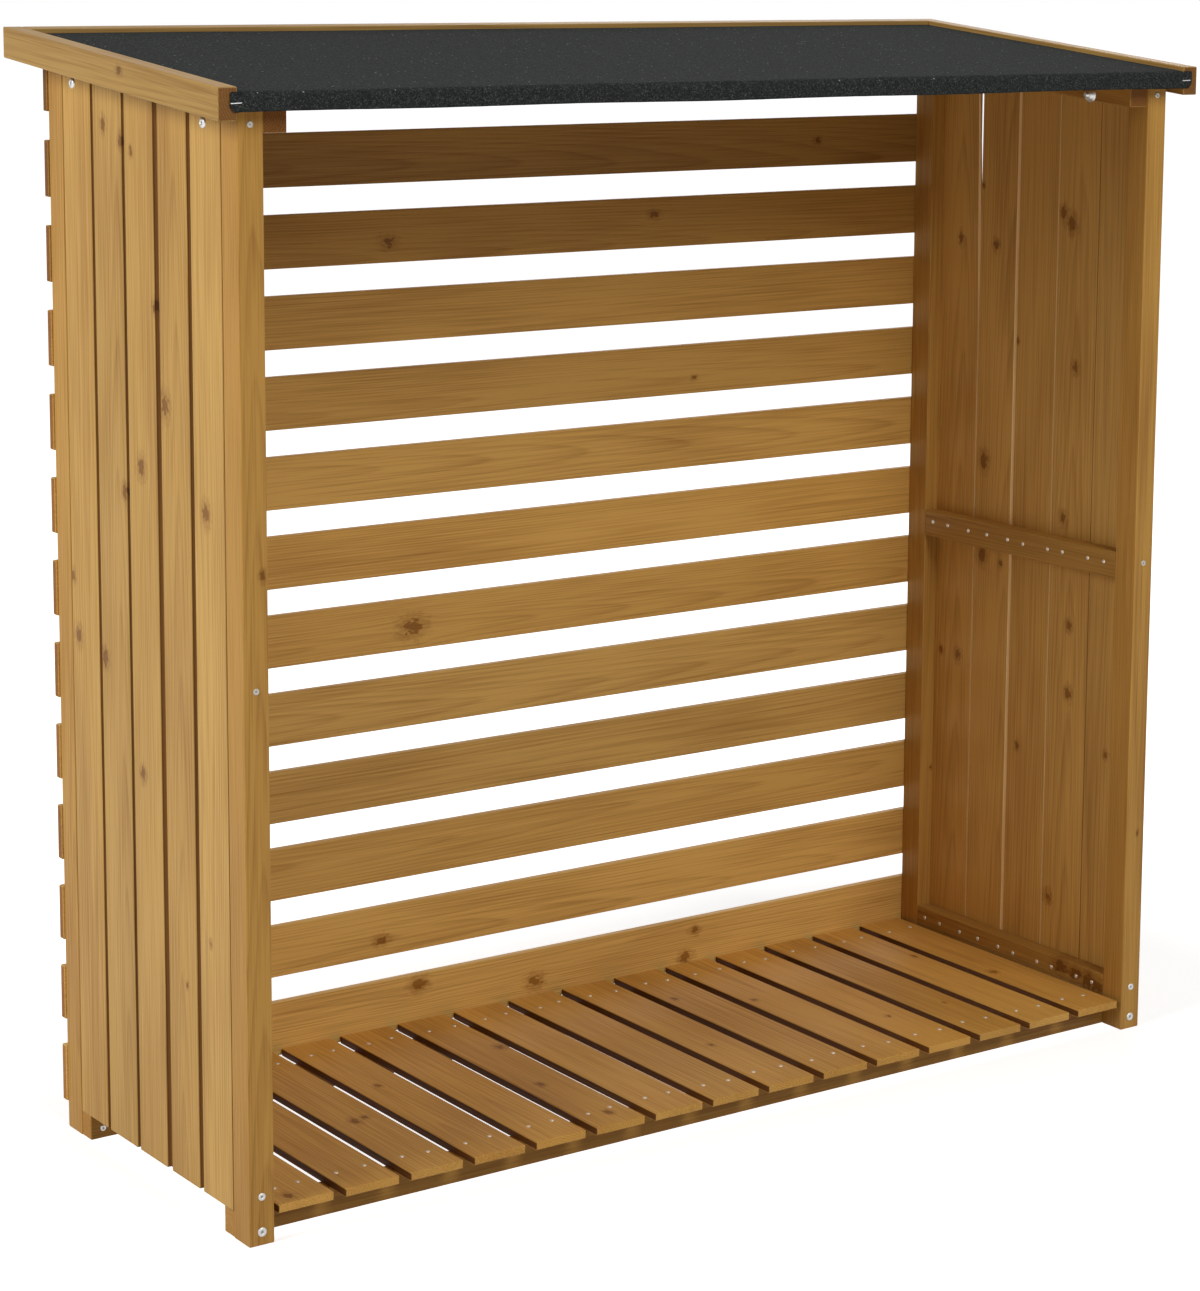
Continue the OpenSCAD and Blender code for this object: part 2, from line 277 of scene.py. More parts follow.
def softwood(name, pale, dark, knot, ring_depth, gloss=0.52):
    """Softwood with its growth rings as they lie in the log, fibres, stain blotches, and knots
    that the grain flows round. ring_depth is how dark the late wood is."""
    knot_long, knot_pull, knot_gnarl, knot_dark = 0.72, 1.6, 1.5, 0.8
    rings_per_metre, ring_wander, grain_sway = 300.0, 1.4, 0.02
    late_wood, fibre_dark, rim_dark, blotch_middle = 0.55, 0.7, 0.4, 0.42
    year_tones = ((0.0, 0.15), (0.3, 0.05), (0.72, 0.55), (0.9, 1.0), (1.0, 0.12))
    warm_tint = (1.0, 0.84, 0.58)
    gnarl_scale, sway_scale, wander_scale = (160, 230, 230), (1.7, 9, 9), (1.2, 40, 40)
    fibre_scale, blotch_scale = (8, 480, 480), (2.6, 11, 11)
    core_edge, rim_edge, least_area, least_radius = (0.7, 1.1), (0.9, 2.6), 1e-6, 1e-5
    rough_spread, sheen, fibre_bump, fibre_deep = 0.22, 0.2, 0.35, 0.0006
    finish, tree, skin = new_finish(name)

    def work(how, a, b=None, c=None):
        return sums(tree, how, a, b, c)

    def carried(mark):
        return add_node(tree, "ShaderNodeAttribute", attribute_name=mark).outputs["Vector"]

    def split(vector):
        return add_node(tree, "ShaderNodeSeparateXYZ", {0: vector}).outputs

    grain = carried("grain")
    along, across, through = split(grain)
    pith_across, pith_deep, pith_lean = split(carried("pith"))
    shade, warmth, own = split(carried("tone"))
    own_place = add_node(tree, "ShaderNodeCombineXYZ", {0: own, 1: own, 2: own}).outputs[0]
    shifted = vectors(tree, "ADD", grain, own_place)

    def cloud(scale, detail=0.0):
        return add_node(tree, "ShaderNodeTexNoise", {
            "Vector": vectors(tree, "MULTIPLY", shifted, scale), "Scale": 1.0,
            "Detail": detail, "Roughness": 0.6}).outputs["Fac"]

    gnarl = work("MULTIPLY", work("SUBTRACT", cloud(gnarl_scale), 0.5), knot_gnarl)
    bends, cores, rims = [], [], []
    for number in (1, 2):
        knot_along, knot_across, size = split(carried(f"knot_{number}"))
        da = work("MULTIPLY", work("SUBTRACT", along, knot_along), knot_long)
        db = work("SUBTRACT", across, knot_across)
        far2 = work("MULTIPLY_ADD", da, da, work("MULTIPLY", db, db))
        size2 = work("MULTIPLY", size, size)
        pull = work("MULTIPLY", db, work("MULTIPLY", size2, knot_pull))
        bends.append(work("DIVIDE", pull, work("ADD", far2, work("ADD", size2, least_area))))
        reach = work("DIVIDE", work("SQRT", far2), work("ADD", size, least_radius))
        reach = work("ADD", reach, gnarl)
        for rings, edge in ((cores, core_edge), (rims, rim_edge)):
            rings.append(stretch_range(tree, reach, *edge, 1.0, 0.0,
                                       interpolation_type="SMOOTHSTEP"))
    push, heart, rim = work("ADD", *bends), work("MAXIMUM", *cores), work("MAXIMUM", *rims)

    sway = work("MULTIPLY", work("SUBTRACT", cloud(sway_scale), 0.5), grain_sway)
    flowing = work("ADD", work("SUBTRACT", across, push), sway)
    out_across = work("SUBTRACT", flowing, pith_across)
    out_deep = work("ADD", through, work("MULTIPLY_ADD", along, pith_lean, pith_deep))
    out_deep2 = work("MULTIPLY", out_deep, out_deep)
    radius = work("SQRT", work("MULTIPLY_ADD", out_across, out_across, out_deep2))
    wander = work("MULTIPLY", cloud(wander_scale), ring_wander)
    growth = work("FRACT", work("MULTIPLY_ADD", radius, rings_per_metre, wander))
    year = add_node(tree, "ShaderNodeValToRGB", {0: growth})
    set_ramp(year.color_ramp, year_tones)
    fibre = cloud(fibre_scale)
    blotch = cloud(blotch_scale, 1.0)
    depth = work("ADD", work("MULTIPLY", year.outputs[0], ring_depth * late_wood),
                 work("MULTIPLY", work("SUBTRACT", fibre, 0.5), fibre_dark))
    depth = work("ADD", depth, work("SUBTRACT", blotch, blotch_middle))
    depth = work("ADD", depth, work("MULTIPLY", rim, rim_dark))
    wood = blend(tree, depth, pale, dark)
    wood = blend(tree, work("MULTIPLY", heart, knot_dark), wood, knot)
    # shade and warmth set the colour's lightness and warmth: the wood's own tone, and on some
    # pieces painted light and shade.
    toned = add_node(tree, "ShaderNodeVectorMath", {0: wood, "Scale": shade},
                     operation="SCALE").outputs[0]
    colour = blend(tree, warmth, toned, vectors(tree, "MULTIPLY", toned, warm_tint))
    tree.links.new(colour, skin.inputs["Base Color"])
    rough = work("MULTIPLY_ADD", fibre, rough_spread, gloss - rough_spread / 2)
    tree.links.new(rough, skin.inputs["Roughness"])
    add_bump(tree, skin, fibre, fibre_bump, fibre_deep)
    skin.inputs["Specular IOR Level"].default_value = sheen
    return finish


stained = softwood("stained_softwood", from_srgb(203, 163, 92), from_srgb(146, 102, 47),
                   from_srgb(120, 76, 18), 0.58)
stained_ends = softwood("stained_end_grain", from_srgb(158, 109, 53), from_srgb(110, 70, 32),
                        from_srgb(70, 42, 20), 1.2, 0.62)
unstained = softwood("bare_tongue", from_srgb(250, 224, 176), from_srgb(230, 196, 144),
                     from_srgb(150, 100, 60), 0.5, 0.6)
# Dark finish for the sides of the shadow gaps and tight joints: painted shade in the narrow slots.
painted_gap_shade = softwood("painted_shade_in_the_gap", from_srgb(138, 94, 44), from_srgb(104, 67, 28),
                  from_srgb(70, 42, 18), 0.5, 0.6)


def timber_piece(name, lengths, node, finishes=None):
    """Puts the lengths of one piece into one mesh, with the grain of each, for the CAD node."""
    mesh = bpy.data.meshes.new(name)
    points, faces, slots = [], [], []
    marks = {key: [] for key in ("grain", "pith", "tone", "knot_1", "knot_2")}
    for cut in lengths:
        base, count = len(points), len(cut["points"])
        points += cut["points"]
        faces += [tuple(base + v for v in face) for face in cut["faces"]]
        slots += cut["slots"]
        for point in cut["grain"]:
            marks["grain"] += point
        marks["pith"] += cut["pith"] * count
        marks["tone"] += cut["tone"] * count
        for first, second in cut["knots"]:
            marks["knot_1"] += first
            marks["knot_2"] += second
    mesh.from_pydata(points, [], faces)
    for key, values in marks.items():
        domain = "FACE" if key.startswith("knot") else "POINT"
        mesh.attributes.new(key, "FLOAT_VECTOR", domain).data.foreach_set("vector", values)
    for finish in finishes or (stained, stained_ends, unstained, painted_gap_shade):
        mesh.materials.append(finish)
    mesh.polygons.foreach_set("material_index", slots)
    turned = bmesh.new()
    turned.from_mesh(mesh)
    bmesh.ops.recalc_face_normals(turned, faces=turned.faces)
    turned.to_mesh(mesh)
    turned.free()
    mesh.polygons.foreach_set("use_smooth", [True] * len(mesh.polygons))
    piece = bpy.data.objects.new(name, mesh)
    stage_scene.collection.objects.link(piece)
    shading = piece.modifiers.new("flat_faces", "WEIGHTED_NORMAL")
    shading.weight = 100
    shading.keep_sharp = True
    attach(piece, "root")
    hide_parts(node)


for side, hand in SIDES:
    for which, fore in (("front", 0.0), ("rear", DEPTH - POST_DEEP)):
        centre = fore + POST_DEEP / 2
        height = deck_under(centre)

        def stand(along, across, through, hand=hand, centre=centre, height=height):
            y = centre + through
            x = hand * (WIDTH / 2 - POST_WIDE / 2 + across)
            return (x, y - MIDDLE, along * deck_under(y) / height)

        post = saw_length(height, POST_WIDE, POST_DEEP, stand, 11 + 3 * hand + 7 * len(which),
                          knots=POST_KNOTS.get((side, which), PLAIN_POST_KNOTS),
                          shade=POST_SHADE, warmth=POST_WARMTH)
        timber_piece(f"{side}_{which}_corner_post", [post], f"{side}_{which}_post")

# Side boards: five upright tongue-and-groove boards a side, 10 mm thick, filling the space between
# the posts. Each tongue crosses a shadow gap into the next board's groove, and no stain has reached
# it. The sides of the gaps and of the tight joints get a dark finish, painted shade in the narrow
# slots. The outer boards are pushed up to the posts, with a shadow line left outside.
BOARDS, BOARD_THICK, SHADOW_GAP, RAIL_HIGH, END_GAP = 5, 0.010, 0.010, 0.035, 0.002
BOARD_FACE = (DEPTH - 2 * POST_DEEP - 2 * END_GAP - (BOARDS - 1) * SHADOW_GAP) / BOARDS
BOARD_EASE, PUSHED_UP = 0.0012, 0.0017
TONGUE_REACH, TONGUE_EASE, LIP_EASE = 0.004, 0.0006, 0.0004
GROOVE_DEEP, GROOVE_PLAY = 0.0046, 0.0003
TONGUE_FACE, TONGUE_BACK = 0.55 * BOARD_THICK, 0.8 * BOARD_THICK
TIGHT_JOINT, OPEN_JOINT = 0.0012, 0.002
INNER_JOINT = {("right", 1): 0.003, ("right", 2): 0.0066, ("right", 3): 0.0024,
               ("right", 4): 0.0018}
SPREAD = {"left": (0.0, -0.002, -0.002, 0.003, 0.0, 0.0),
          "right": (0.0, 0.003, 0.0, 0.0, 0.0, 0.0)}
EDGE_SIDE, GAP_SIDE, UNDER_TONGUE, LIP_SIDE = 5, 6, 9, 10
SPRUNG_BOARD, SPRUNG_ABOVE, SPRUNG_BY, SPRUNG_EDGE = ("right", 1), 0.7, 0.0037, 0.0015
SPRUNG_TONGUE = 0.86
# Lightness and warmth of each side's boards: the right-hand boards are lighter and warmer than the
# left, painted light on their inside faces.
BOARD_TONE_AND_LIGHT = {"left": (1.02, 0.26), "right": (1.17, 0.36)}
BOARD_SEEDS = {"left": 40, "right": 44}
BOARD_KNOTS = {
    "left_board_1": [(0.656, 0.02, 0.0075), (0.733, 0.034, 0.005)],
    "left_board_2": [(1.329, 0.011, 0.006), (1.315, -0.037, 0.005), (0.869, -0.034, 0.006),
                     (0.64, 0.03, 0.007)],
    "left_board_3": [(1.299, 0.022, 0.004), (0.905, 0.006, 0.008), (0.508, 0.014, 0.006),
                     (1.114, -0.038, 0.005)],
    "left_board_4": [(0.99, 0.026, 0.009), (0.26, -0.012, 0.003)],
    "left_board_5": [(0.87, 0.008, 0.0075), (0.33, 0.01, 0.003)],
    "right_board_1": [(1.114, -0.004, 0.006), (0.459, 0.025, 0.004), (0.458, -0.015, 0.006)],
    "right_board_2": [(1.11, 0.003, 0.005), (0.773, 0.021, 0.008), (0.624, 0.02, 0.008),
                      (0.619, -0.024, 0.004), (1.196, 0.035, 0.003)],
    "right_board_3": [(0.965, 0.036, 0.003), (0.34, 0.016, 0.004)],
    "right_board_4": [(1.167, 0.029, 0.006), (1.154, 0.01, 0.008), (1.227, 0.006, 0.005),
                      (0.94, -0.005, 0.005), (0.709, 0.013, 0.006), (0.548, -0.006, 0.005),
                      (0.444, -0.007, 0.006), (0.119, 0.026, 0.006)],
    "right_board_5": [(0.366, -0.006, 0.004)],
}


def board_back(number):
    """Rear edge of a board's face, counted from the rear."""
    return DEPTH - POST_DEEP - END_GAP - (number - 1) * (BOARD_FACE + SHADOW_GAP)


def board_outline(side, number):
    """Cross-section of a board, and the finish of its sides that differ: the rounded face, then
    the tongue at the front edge, and the groove at the back edge."""
    half, soft = BOARD_FACE / 2, BOARD_EASE
    face, inner = BOARD_THICK / 2, -BOARD_THICK / 2
    tongue_in, tongue_out = face - TONGUE_FACE, face - TONGUE_BACK
    rear = half - SPREAD[side][number - 1] / 2
    near = half - SPREAD[side][number] / 2
    pushed = half + PUSHED_UP
    joint = INNER_JOINT.get((side, number), TIGHT_JOINT)
    outline = [(rear, face - soft), (rear - 0.3 * soft, face - 0.3 * soft), (rear - soft, face),
               (-near + soft, face), (-near + 0.3 * soft, face - 0.3 * soft), (-near, face - soft)]
    # The sides of the shadow gap, of a tight joint and of the groove's outer cheek get painted
    # shade.
    bare = {EDGE_SIDE: PAINTED_SHADE_SIDE, GAP_SIDE: PAINTED_SHADE_SIDE}
    if number < BOARDS:
        tip, lip = -half - SHADOW_GAP - TONGUE_REACH, -half - SHADOW_GAP + joint
        outline += [(-near, tongue_in), (tip + TONGUE_EASE, tongue_in),
                    (tip, tongue_in - TONGUE_EASE), (tip, tongue_out), (lip, tongue_out),
                    (lip, inner + LIP_EASE), (lip + LIP_EASE, inner)]
        bare[UNDER_TONGUE] = BARE
        bare[LIP_SIDE] = BARE if joint > OPEN_JOINT else PAINTED_SHADE_SIDE
    else:
        outline += [(-near, tongue_in), (-pushed, tongue_in), (-pushed, inner)]
    if number > 1:
        floor, bottom, top = half - GROOVE_DEEP, tongue_out - GROOVE_PLAY, tongue_in + GROOVE_PLAY
        outline += [(half, inner), (half, bottom), (floor, bottom), (floor, top), (rear, top)]
    else:
        outline += [(pushed, inner), (pushed, tongue_in), (rear, tongue_in)]
    bare[len(outline) - 1] = bare[len(outline) - 2] = PAINTED_SHADE_SIDE
    return outline, bare, near


for side, hand in SIDES:
    for number in range(1, BOARDS + 1):
        outline, bare, near = board_outline(side, number)
        centre = board_back(number) - BOARD_FACE / 2
        tall = deck_under(centre) - RAIL_HIGH
        sprung_top = (side, number) == SPRUNG_BOARD

        def hang(along, across, through, hand=hand, centre=centre, near=near, tall=tall,
                 sprung_top=sprung_top):
            if sprung_top and across < SPRUNG_EDGE - near:
                sprung = max(0.0, along / tall - SPRUNG_ABOVE) / (1 - SPRUNG_ABOVE)
                drawn_in = min(0.0, across + near) * (1 - SPRUNG_TONGUE * sprung)
                across = -near + SPRUNG_BY * sprung + drawn_in
            y = centre + across
            z = RAIL_HIGH + along * (deck_under(y) - RAIL_HIGH) / tall
            return (hand * (WIDTH / 2 - BOARD_THICK / 2 + through), y - MIDDLE, z)

        name = f"{side}_board_{number}"
        shade, warmth = BOARD_TONE_AND_LIGHT[side]
        board = saw_length(tall, BOARD_FACE, BOARD_THICK, hang, BOARD_SEEDS[side] + 9 * number,
                           knots=BOARD_KNOTS[name], outline=outline, bare=bare,
                           shade=shade, warmth=warmth)
        timber_piece(f"{side}_tongue_board_{number}", [board], name)

# Side battens: three lengths of 25 by 40 mm between the posts of each side, against the insides of
# the boards. The bottom one sits on the floor rails and the top one follows the roof. Two nails go
# into every board, and screws through the front posts hold battens and floor.
BATTEN_HIGH, BATTEN_THICK = 0.040, POST_WIDE - BOARD_THICK
BATTEN_LONG = DEPTH - 2 * POST_DEEP
BATTEN_SHADE, BATTEN_WARMTH = 0.82, 0.8
MIDDLE_BATTEN = 0.698
BATTENS = (("bottom", RAIL_HIGH), ("middle", MIDDLE_BATTEN - BATTEN_HIGH / 2), ("top", None))
BATTEN_KNOTS = {("right", "bottom"): [(0.093, 0.008, 0.009), (0.06, 0.004, 0.009),
                                      (0.035, 0.002, 0.01), (0.014, -0.002, 0.008)]}
NAIL_PARTS, NAIL_HIGH, TOP_NAIL_DOWN = (0.24, 0.74), 0.55, 0.02
NAIL_STRAY, NAIL_STRAY_UP = 0.005, 0.002
NAIL_HEAD = [(0.003, -0.002), (0.003, 0.0002), (0.0025, 0.0006), (0.0011, 0.0008)]
SCREW_HEAD = [(0.0043, -0.003), (0.0043, 0.0003), (0.0039, 0.0009), (0.0019, 0.0011),
              (0.0014, 0.0003)]
TURNED_STEPS = 16


def metal(name, colour, rough, streak):
    """Zinc-plated steel, its plating slightly cloudy."""
    cloud_scale, rough_spread, rough_drop = 900.0, 0.25, 0.1
    cloud_bump, cloud_deep = 0.2, 0.0002
    finish, tree, skin = new_finish(name)
    skin.inputs["Metallic"].default_value = 1.0
    where = add_node(tree, "ShaderNodeTexCoord").outputs["Object"]
    mottle = add_node(tree, "ShaderNodeTexNoise", {
        "Vector": where, "Scale": cloud_scale, "Detail": 3.0}).outputs["Fac"]
    tree.links.new(blend(tree, mottle, colour, streak), skin.inputs["Base Color"])
    roughness = sums(tree, "MULTIPLY_ADD", mottle, rough_spread, rough - rough_drop)
    tree.links.new(roughness, skin.inputs["Roughness"])
    add_bump(tree, skin, mottle, cloud_bump, cloud_deep)
    return finish


zinc = metal("zinc_plate", (0.62, 0.62, 0.6, 1), 0.38, (0.42, 0.42, 0.42, 1))
dull_zinc = metal("dull_zinc_plate", (0.43, 0.41, 0.36, 1), 0.5, (0.29, 0.28, 0.25, 1))
bright_zinc = metal("bright_zinc_plate", (0.78, 0.74, 0.66, 1), 0.55, (0.56, 0.52, 0.45, 1))
steel_and_recess_shade = metal("steel_and_recess_shade", (0.34, 0.32, 0.3, 1), 0.5, (0.16, 0.14, 0.12, 1))


def turned_heads(name, spots, facing, rings, finish, recess=None):
    """A set of round heads on one piece: rings of radius and height turned about facing at each
    spot. recess is the finish of the sunk middle that takes the bit, darker as painted shade there."""
    mesh = bpy.data.meshes.new(name)
    out = Vector(facing).normalized()
    aside = out.orthogonal().normalized()
    other = out.cross(aside)
    points, faces = [], []
    for spot in spots:
        base = len(points)
        for radius, rise in rings:
            for k in range(TURNED_STEPS):
                a = 2 * math.pi * k / TURNED_STEPS
                spoke = aside * math.cos(a) + other * math.sin(a)
                points.append(tuple(Vector(spot) + out * rise + spoke * radius))
        for r in range(len(rings) - 1):
            low, high = base + r * TURNED_STEPS, base + (r + 1) * TURNED_STEPS
            for k in range(TURNED_STEPS):
                t = (k + 1) % TURNED_STEPS
                faces.append((low + k, low + t, high + t, high + k))
        crown = base + (len(rings) - 1) * TURNED_STEPS
        faces.append(tuple(crown + k for k in range(TURNED_STEPS)))
        faces.append(tuple(base + k for k in reversed(range(TURNED_STEPS))))
    mesh.from_pydata(points, [], faces)
    mesh.polygons.foreach_set("use_smooth", [len(face) == 4 for face in faces])
    mesh.materials.append(finish)
    if recess:
        mesh.materials.append(recess)
        per_head = len(faces) // len(spots)
        sunk = [1 if k % per_head == per_head - 2 else 0 for k in range(len(faces))]
        mesh.polygons.foreach_set("material_index", sunk)
    heads = bpy.data.objects.new(name, mesh)
    stage_scene.collection.objects.link(heads)
    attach(heads, "root")


for side, hand in SIDES:
    for which, low in BATTENS:

        def lay(along, across, through, hand=hand, low=low):
            y = POST_DEEP + along
            if low is None:
                z = deck_under(y) + (across - BATTEN_HIGH / 2) / math.cos(FALL)
            else:
                z = low + BATTEN_HIGH / 2 + across
            x = hand * (WIDTH / 2 - POST_WIDE + BATTEN_THICK / 2 - through)
            return (x, y - MIDDLE, z)

        batten = saw_length(BATTEN_LONG, BATTEN_HIGH, BATTEN_THICK, lay,
                            131 + 5 * hand + 3 * len(which),
                            knots=BATTEN_KNOTS.get((side, which), ()),
                            shade=BATTEN_SHADE, warmth=BATTEN_WARMTH)
        timber_piece(f"{side}_{which}_side_batten", [batten], f"{side}_{which}_batten")
        heads, hammer = [], random.Random(900 + 10 * hand + len(which))
        for number in range(1, BOARDS + 1):
            for part in NAIL_PARTS:
                y = board_back(number) - BOARD_FACE * part
                y += hammer.uniform(-NAIL_STRAY, NAIL_STRAY)
                z = deck_under(y) - TOP_NAIL_DOWN if low is None else low + BATTEN_HIGH * NAIL_HIGH
                z += hammer.uniform(-NAIL_STRAY_UP, NAIL_STRAY_UP)
                heads.append((hand * (WIDTH / 2 - POST_WIDE), y - MIDDLE, z))
        turned_heads(f"{side}_{which}_batten_nails", heads, (-hand, 0, 0), NAIL_HEAD,
                     bright_zinc)

for name, size, heights, finish in (
    ("upper", 1.0, ((1.3815, 0.700), (1.3865, 0.706)), dull_zinc),
    ("lower", 1.2, ((0.063,), (0.064,)), zinc),
    ("foot", 1.45, ((0.0175,), (0.018,)), zinc),
):
    spots = [(hand * (WIDTH / 2 - POST_WIDE / 2), -MIDDLE, z)
             for (side, hand), levels in zip(SIDES, heights) for z in levels]
    turned_heads(f"front_post_{name}_screws", spots, (0, -1, 0),
                 [(r * size, h * size) for r, h in SCREW_HEAD], finish, steel_and_recess_shade)

# Floor: two rails on the ground carry fifteen slats of 79 by 11 mm that run from front to back.
# Each slat has two nails at either end, and the rear rail is screwed to the rear posts.
# The rails are darkened as painted shade under the slats; their ends get a paler end grain that
# brings them back to the posts' colour.
RAIL_THICK, RAIL_TRIM, RAIL_PAINTED_SHADE, RAIL_WARMTH = 0.026, 0.001, 0.74, 0.9
SLATS, SLAT_WIDE, SLAT_THICK, SLAT_EASE, SLAT_MARGIN = 15, 0.079, 0.011, 0.0012, 0.042
SLAT_FRONT, SLAT_SHORT = 0.002, 0.003
SLAT_SHADE, SLAT_WARMTH, SLAT_EDGES = 1.1, 0.78, (7, 15)
SLAT_NAIL_ROWS, SLAT_NAIL_PARTS, SLAT_NAIL_STRAY = (0.055, DEPTH - 0.052), (0.25, 0.75), 0.004
SLAT_KNOTS = {0: [(0.022, -0.015, 0.006)],
              2: [(0.201, -0.004, 0.006), (0.206, 0.014, 0.004)],
              5: [(0.181, -0.009, 0.005), (0.04, 0.007, 0.005), (0.342, 0.028, 0.006)],
              14: [(0.21, -0.02, 0.005)]}
RAIL_SCREW_OUT, RAIL_SCREW_HIGH = 0.731, 0.014
rail_ends = softwood("pale_end_grain", from_srgb(222, 176, 102), from_srgb(172, 124, 62),
                     from_srgb(110, 70, 34), 0.9, 0.62)
# Dark finish for the slats' long sides: stain soaked into the edges, and painted shade in the gaps
# between the slats.
edge_stain_and_shade = softwood("slat_edge_stain_and_shade", from_srgb(104, 67, 31), from_srgb(74, 45, 20),
                      from_srgb(60, 36, 16), 0.5, 0.65)
rear_rail = DEPTH - POST_DEEP - RAIL_THICK
for which, fore in (("front", POST_DEEP), ("rear", rear_rail)):

    def lay(along, across, through, fore=fore):
        y = fore + RAIL_THICK / 2 + through
        return (along - WIDTH / 2 + RAIL_TRIM, y - MIDDLE, RAIL_HIGH / 2 + across)

    rail = saw_length(WIDTH - 2 * RAIL_TRIM, RAIL_HIGH, RAIL_THICK, lay, 201 + len(which),
                      shade=RAIL_PAINTED_SHADE, warmth=RAIL_WARMTH)
    timber_piece(f"floor_{which}_bearer_rail", [rail], f"floor_{which}_rail",
                 (stained, rail_ends))

slat_lengths, slat_nails = [], []
nailer = random.Random(77)
slat_pitch = (WIDTH - 2 * SLAT_MARGIN - SLAT_WIDE) / (SLATS - 1)
for number in range(SLATS):
    left_edge = -WIDTH / 2 + SLAT_MARGIN + number * slat_pitch

    def lay(along, across, through, left_edge=left_edge):
        return (left_edge + SLAT_WIDE / 2 + across, SLAT_FRONT + along - MIDDLE,
                RAIL_HIGH + SLAT_THICK / 2 + through)

    slat_lengths.append(saw_length(DEPTH - SLAT_SHORT, SLAT_WIDE, SLAT_THICK, lay, 300 + 7 * number,
                                   ease=SLAT_EASE, knots=SLAT_KNOTS.get(number, ()),
                                   bare={edge: PAINTED_SHADE_SIDE for edge in SLAT_EDGES},
                                   shade=SLAT_SHADE, warmth=SLAT_WARMTH))
    for row in SLAT_NAIL_ROWS:
        for part in SLAT_NAIL_PARTS:
            x = left_edge + SLAT_WIDE * part + nailer.uniform(-SLAT_NAIL_STRAY, SLAT_NAIL_STRAY)
            y = row - MIDDLE + nailer.uniform(-SLAT_NAIL_STRAY, SLAT_NAIL_STRAY)
            slat_nails.append((x, y, RAIL_HIGH + SLAT_THICK))
timber_piece("floor_slat_set", slat_lengths, "floor_slats",
             (stained, stained, unstained, edge_stain_and_shade))
turned_heads("floor_slat_nails", slat_nails, (0, 0, 1), NAIL_HEAD, bright_zinc)
rail_screws = [(hand * RAIL_SCREW_OUT, rear_rail - MIDDLE, RAIL_SCREW_HIGH) for side, hand in SIDES]
turned_heads("rear_rail_screws", rail_screws, (0, -1, 0), SCREW_HEAD, zinc,
             steel_and_recess_shade)

# Back: thirteen level slats of 74 by 12 mm nailed to the rear faces of the rear posts, with open
# gaps for air. Their ends pass the posts by a few millimetres, and the lowest one laps the ends of
# the floor slats.
BACK_HIGH, BACK_THICK, BACK_COUNT, BACK_START = 0.074, 0.012, 13, 0.040
BACK_OVER, BACK_LAP, BACK_TOP_GAP = 0.002, 0.004, 0.003
BACK_KNOTS = {
    3: [(0.512, -0.008, 0.007), (0.968, 0.012, 0.005)],
    8: [(0.55, -0.004, 0.011)],
    12: [(0.495, -0.013, 0.006)],
    13: [(0.558, 0.024, 0.008), (0.76, -0.009, 0.008), (1.055, 0.019, 0.005),
         (1.037, -0.021, 0.007)],
}
# The top slats are darkened as painted shade from the roof and the lowest lightened as painted
# light; their warmth falls slat by slat from the top down, painted warm light bounced about inside
# the store.
BACK_PAINTED_LIGHT = {1: 0.57, 2: 0.6, 3: 0.82, 11: 1.12, 12: 1.37, 13: 1.48}
PLAIN_BACK_SHADE, BACK_PAINTED_WARMTH_STEP = 1.03, 0.064
BACK_NAIL_PARTS = (0.25, 0.75)
back_pitch = (deck_under(DEPTH) - BACK_TOP_GAP - BACK_START - BACK_HIGH) / (BACK_COUNT - 1)
back_nails = []
for number in range(1, BACK_COUNT + 1):
    high = BACK_HIGH + (BACK_LAP if number == BACK_COUNT else 0.0)
    low = BACK_START + (BACK_COUNT - number) * back_pitch + BACK_HIGH - high

    def lay(along, across, through, low=low, high=high):
        y = DEPTH + BACK_THICK / 2 + through
        return (along - WIDTH / 2 - BACK_OVER, y - MIDDLE, low + high / 2 + across)

    slat = saw_length(WIDTH + 2 * BACK_OVER, high, BACK_THICK, lay, 500 + 11 * number,
                      knots=BACK_KNOTS.get(number, ()),
                      shade=BACK_PAINTED_LIGHT.get(number, PLAIN_BACK_SHADE),
                      warmth=1.0 - BACK_PAINTED_WARMTH_STEP * number)
    timber_piece(f"back_slat_board_{number:02d}", [slat], f"back_slat_{number:02d}")
    for side, hand in SIDES:
        for part in BACK_NAIL_PARTS:
            back_nails.append((hand * (WIDTH / 2 - POST_WIDE / 2), DEPTH + BACK_THICK - MIDDLE,
                               low + BACK_HIGH * part))
turned_heads("back_slat_nails", back_nails, (0, 1, 0), NAIL_HEAD, steel_and_recess_shade)

# Roof timbers: a deck on two bearers that lie beside the posts, with a fascia along both sides and
# the back. Bearers and sides are held together by coach bolts with a washer and a nut on the
# inside.
DECK_THICK, DECK_COUNT, DECK_EASE, FELT_THICK = 0.018, 6, 0.0035, 0.002
FASCIA_THICK, FASCIA_GAP, FASCIA_LIP, FASCIA_DROP = 0.026, 0.011, 0.006, 0.014
ROOF_FRONT, ROOF_OVERHANG = -0.023, 0.042
ROOF_BACK = DEPTH + BACK_THICK + ROOF_OVERHANG
BEARER_WIDE, BEARER_HIGH, BEARER_TRIM = 0.033, 0.033, 0.002
DECK_BACK, DECK_HALF = ROOF_BACK - FASCIA_THICK, WIDTH / 2 + FASCIA_GAP
FASCIA_HIGH = FASCIA_DROP + DECK_THICK + FELT_THICK + FASCIA_LIP
BOLT_ROWS, BOLT_DOWN = (0.084, 0.440), {"left": 0.031, "right": 0.026}
BOLT_HEAD = [(0.007, -0.003), (0.007, 0.0006), (0.0062, 0.002), (0.0044, 0.003),
             (0.0024, 0.0033), (0.002, 0.0024)]
